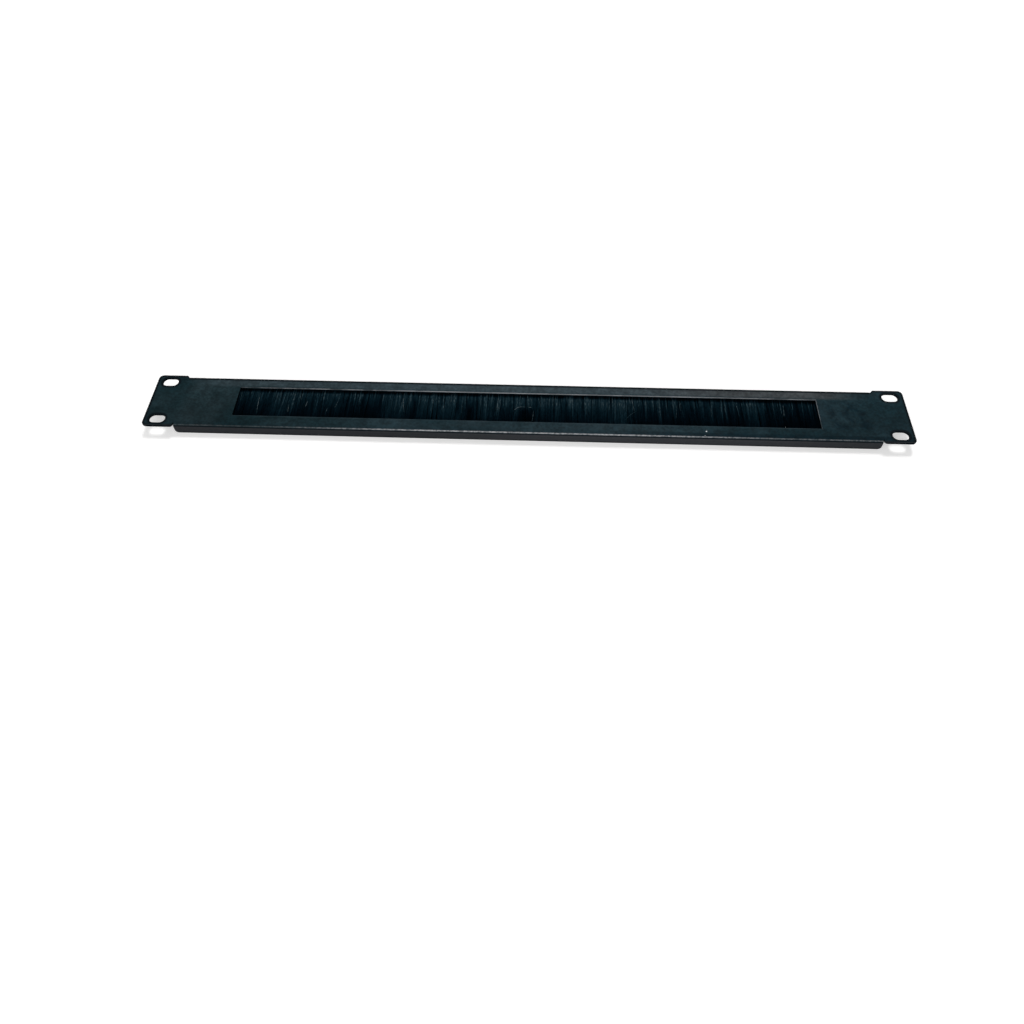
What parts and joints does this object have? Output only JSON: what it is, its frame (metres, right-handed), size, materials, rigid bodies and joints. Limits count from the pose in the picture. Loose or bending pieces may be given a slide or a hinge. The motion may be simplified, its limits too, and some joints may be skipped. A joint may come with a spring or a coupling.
{
  "type": "rack cable entry panel",
  "caption": "Black folded-steel rack panel with oblong slots in its ears and a long cable window that a strip brush, held behind its upper edge, closes against dust.",
  "frame": {"origin": "below the panel's centre, on the plane of the two flange edges that it rests on", "axes": "+X along the panel's length, +Y towards its top edge, +Z out of its front face; the panel lies face up"},
  "size_m": [0.4826, 0.0436, 0.007],
  "materials": {
    "powder_coat": "black satin powder coat with a fine even texture",
    "bristle": "black nylon bristles",
    "galvanised_strip": "galvanised strip, dull grey",
    "zinc_sheet": "zinc-plated sheet steel",
    "zinc_hardware": "bright zinc-plated fasteners"
  },
  "bodies": {
    "root": {"front_panel": "powder_coat", "bristles": "bristle", "brush_channel": "galvanised_strip", "brush_core_wire": "galvanised_strip", "brush_retainer": "zinc_sheet", "weld_studs": "zinc_hardware", "washers": "zinc_hardware", "nuts": "zinc_hardware"}
  },
  "joints": []
}
